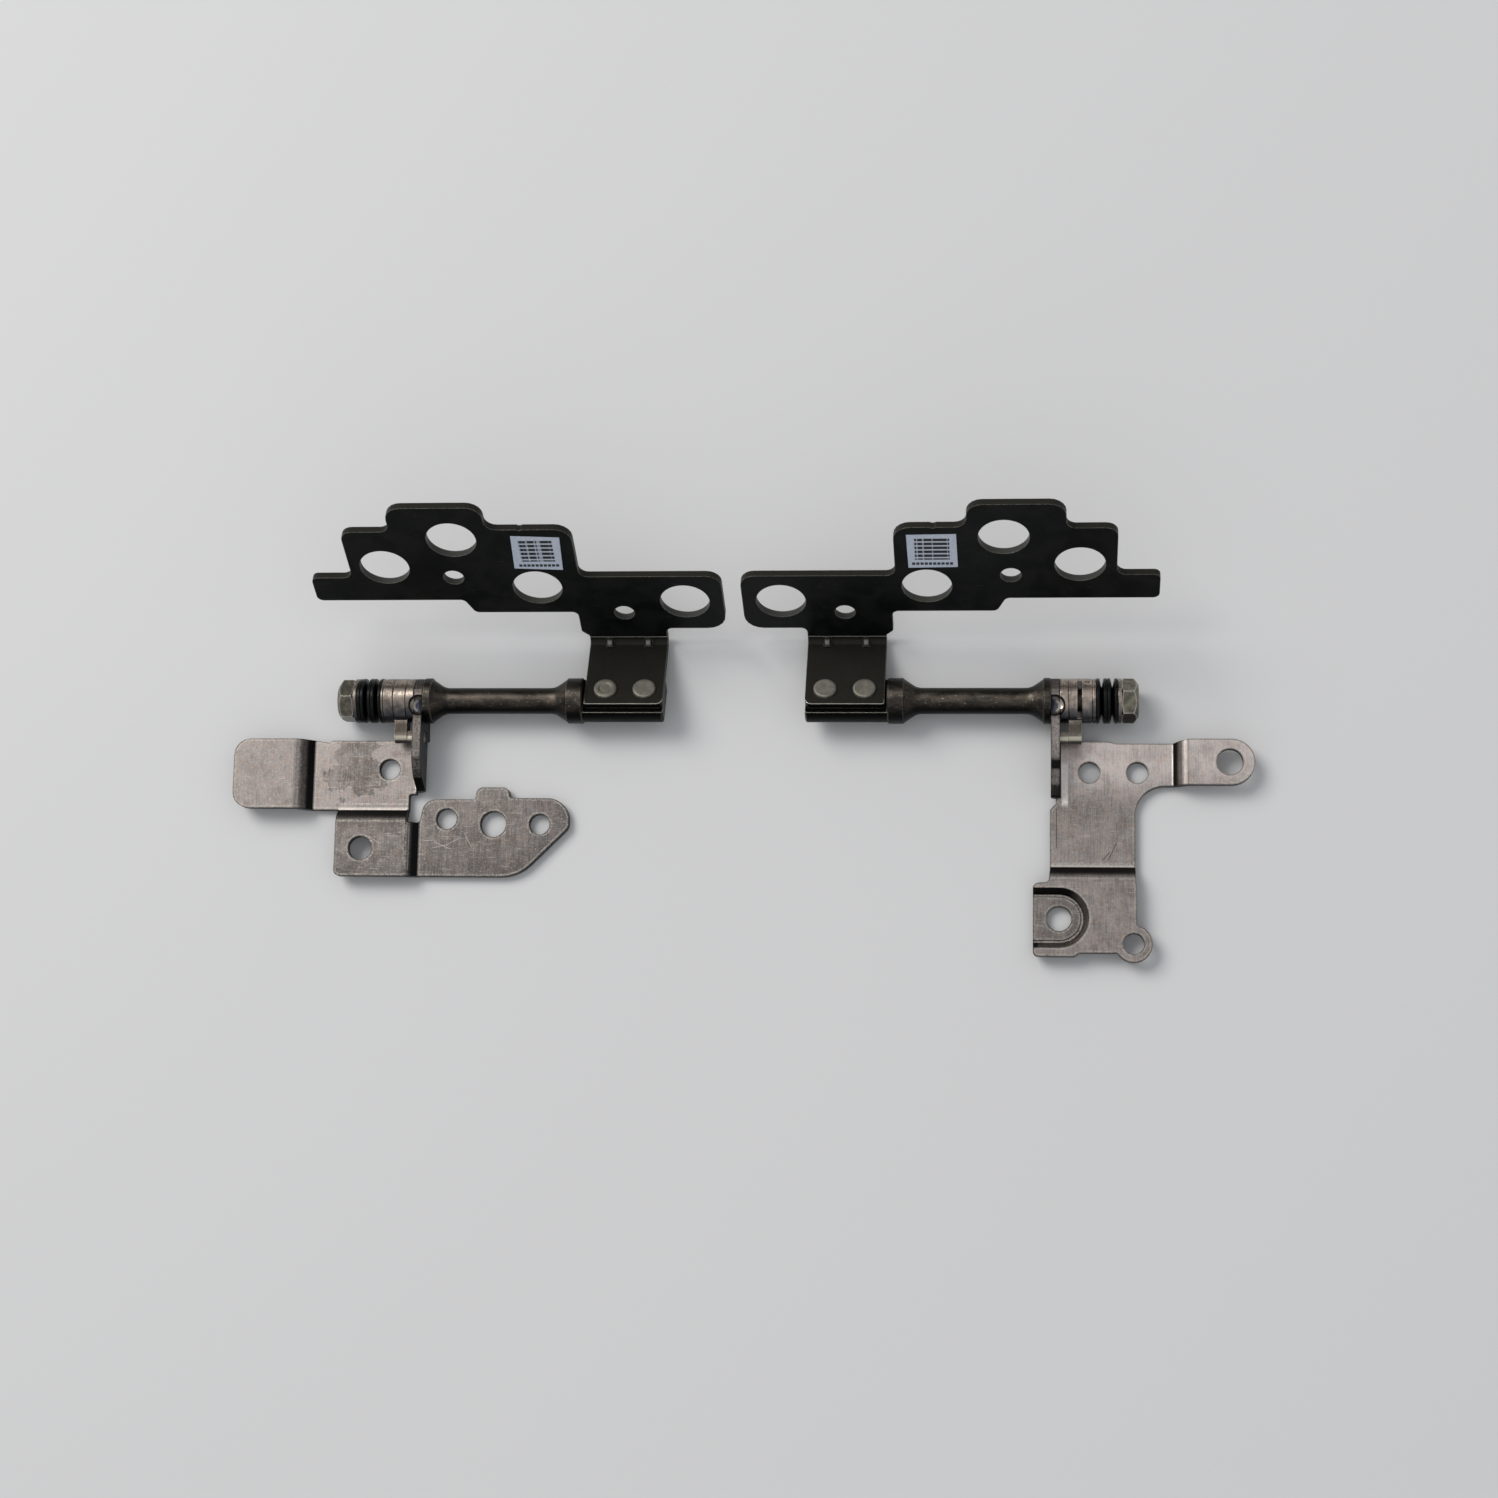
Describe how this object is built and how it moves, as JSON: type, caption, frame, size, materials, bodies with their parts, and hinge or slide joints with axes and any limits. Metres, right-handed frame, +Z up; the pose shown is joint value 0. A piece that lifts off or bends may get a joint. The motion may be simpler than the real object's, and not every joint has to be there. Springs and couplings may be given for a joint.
{
  "type": "pair of laptop hinges",
  "caption": "Left and right friction hinges of a laptop: base bracket, shaft with washer and spring stack, and a riveted lid bracket.",
  "frame": {"origin": "middle of the pair's box, on the table that the base brackets lie on", "axes": "+X along the shaft axes from the left hinge to the right one, +Y from the base brackets towards the lid brackets, +Z up from the table"},
  "size_m": [0.1412, 0.0582, 0.0262],
  "materials": {
    "base_steel": "warm gray zinc-plated sheet with blotches and fine brush lines",
    "bright_steel": "bright satin steel",
    "shaft_steel": "dark brown turned steel, oiled",
    "lid_black": "black coated sheet with bare worn edges",
    "rivet_steel": "dull gray steel",
    "spring_steel": "blackened spring steel, oiled",
    "nut_steel": "warm gray plated steel",
    "label_film": "pale polyester film"
  },
  "bodies": {
    "bases": {"left_base_bracket": "base_steel", "left_spacer_washer": "bright_steel", "left_stop_cam": "bright_steel", "right_base_bracket": "base_steel", "right_spacer_washer": "bright_steel", "right_stop_cam": "bright_steel"},
    "left_lid": {"left_hinge_shaft": "shaft_steel", "left_lid_bracket": "lid_black", "left_tab_rivet_1": "rivet_steel", "left_tab_rivet_2": "rivet_steel", "left_stop_washer": "bright_steel", "left_thin_washer": "bright_steel", "left_disc_spring_1": "spring_steel", "left_disc_spring_2": "spring_steel", "left_disc_spring_3": "spring_steel", "left_disc_spring_4": "spring_steel", "left_backing_washer": "spring_steel", "left_end_washer": "bright_steel", "left_nut": "nut_steel", "left_label": "label_film"},
    "right_lid": {"right_hinge_shaft": "shaft_steel", "right_lid_bracket": "lid_black", "right_tab_rivet_1": "rivet_steel", "right_tab_rivet_2": "rivet_steel", "right_stop_washer": "bright_steel", "right_thin_washer": "bright_steel", "right_disc_spring_1": "spring_steel", "right_disc_spring_2": "spring_steel", "right_disc_spring_3": "spring_steel", "right_disc_spring_4": "spring_steel", "right_end_washer": "bright_steel", "right_nut": "nut_steel", "right_label": "label_film"}
  },
  "joints": [
    {"name": "left_lid_turn", "type": "hinge", "parent": "bases", "child": "left_lid", "pos_m": [0, 0.00649, 0.0032], "axis": [1, 0, 0], "range_deg": [-18, 117]},
    {"name": "right_lid_turn", "type": "hinge", "parent": "bases", "child": "right_lid", "pos_m": [0, 0.00649, 0.0032], "axis": [1, 0, 0], "range_deg": [-18, 117]}
  ]
}
